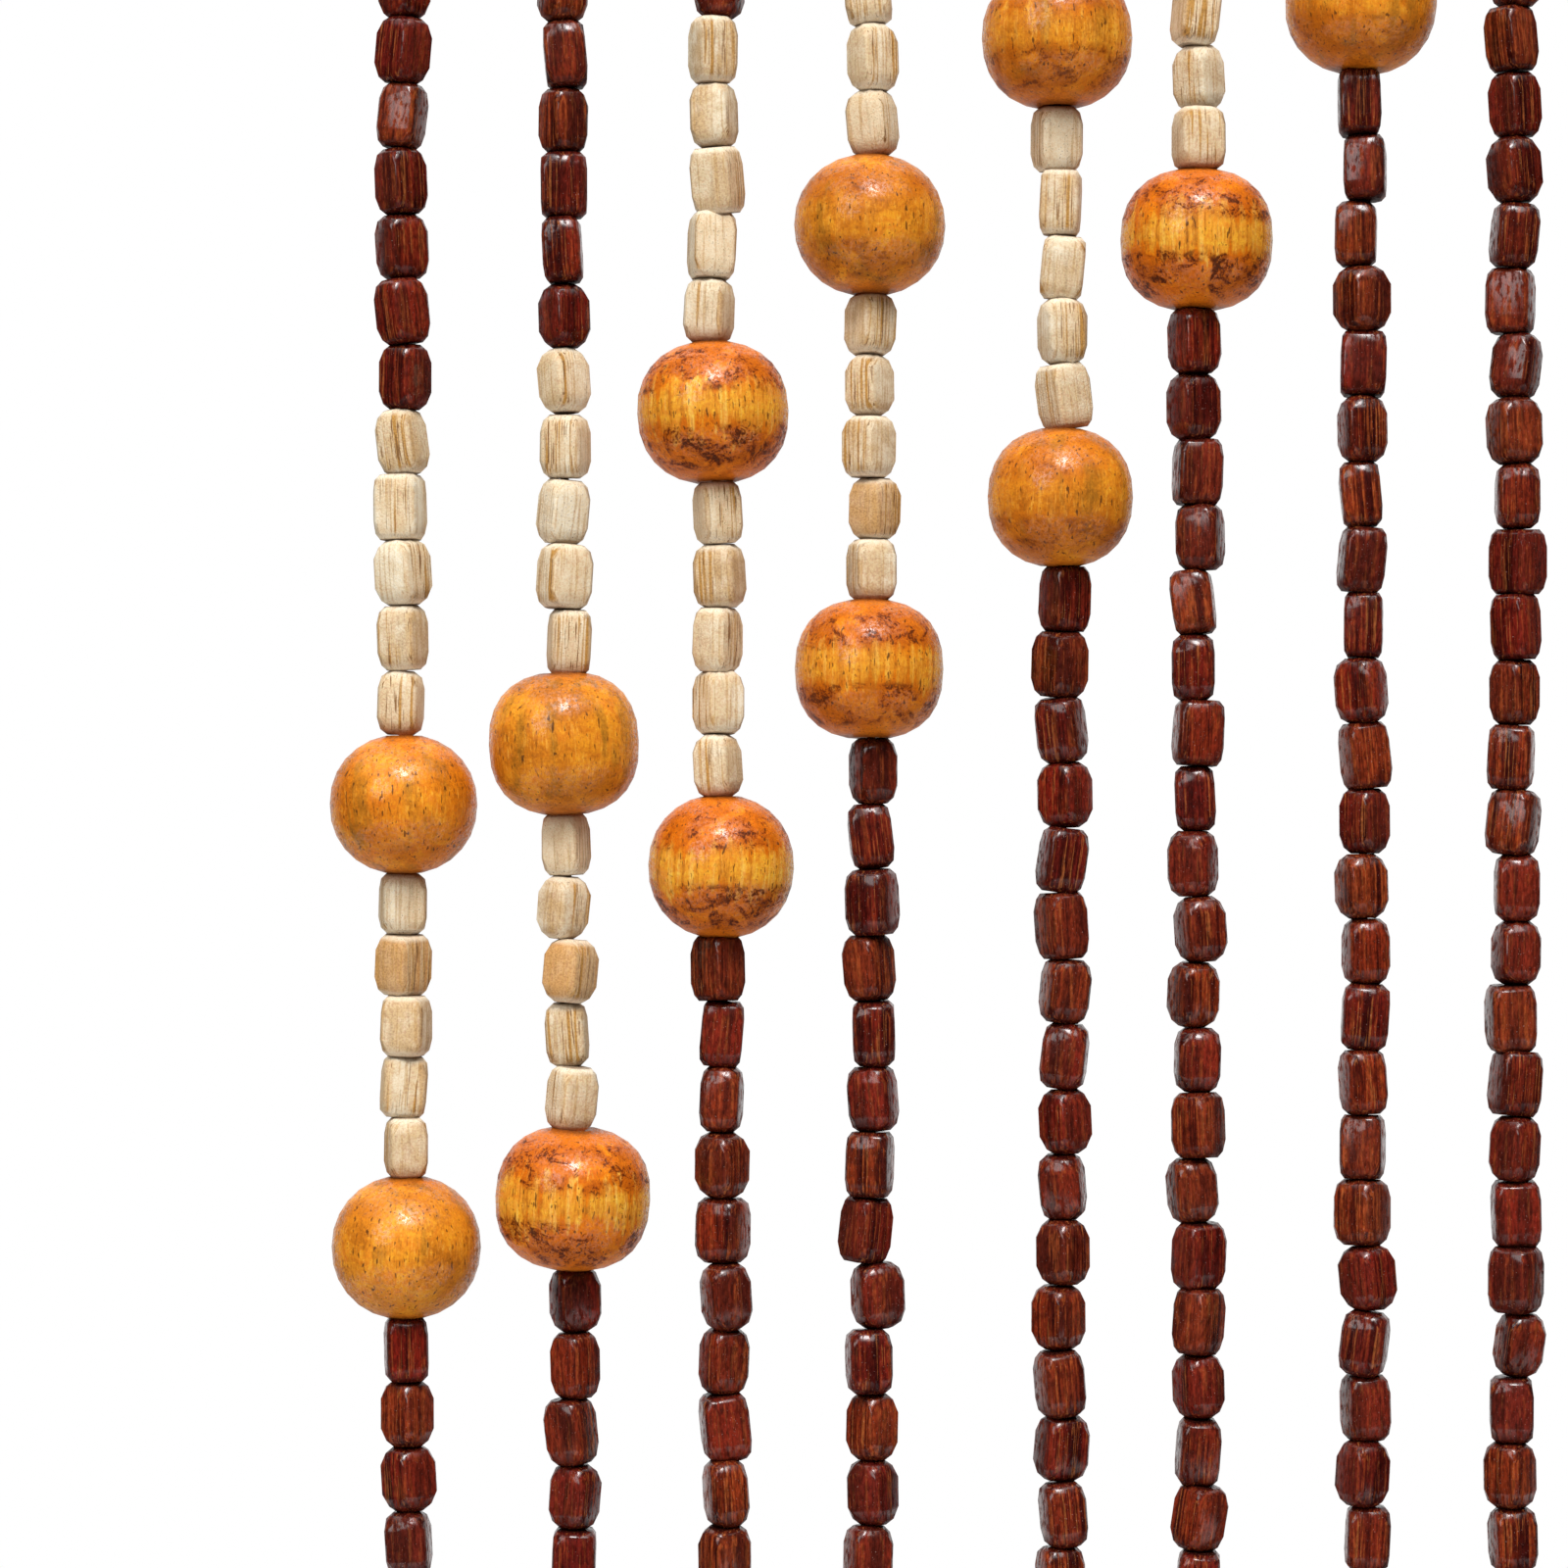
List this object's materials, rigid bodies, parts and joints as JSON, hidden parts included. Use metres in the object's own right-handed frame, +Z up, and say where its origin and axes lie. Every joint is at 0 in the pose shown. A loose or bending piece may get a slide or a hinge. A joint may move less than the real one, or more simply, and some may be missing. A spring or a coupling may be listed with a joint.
{
  "type": "wooden bead curtain",
  "caption": "Doorway curtain of wooden bead strands hanging from a cloth heading tape, with larger round beads set in a chevron.",
  "frame": {"origin": "the middle of the heading tape's top edge", "axes": "+Z up, +X to the right of someone who faces the front, +Y through the curtain to its back"},
  "size_m": [0.9, 0.0192, 1.8],
  "materials": {
    "heading_tape": "woven brown tape",
    "dark_bead": "red-brown stain under satin lacquer",
    "light_bead": "bare pale wood",
    "large_bead": "amber stain under gloss lacquer",
    "cord": "dark spun thread"
  },
  "bodies": {
    "root": {"heading_tape": "heading_tape", "bead_strands": "dark_bead"}
  },
  "joints": []
}
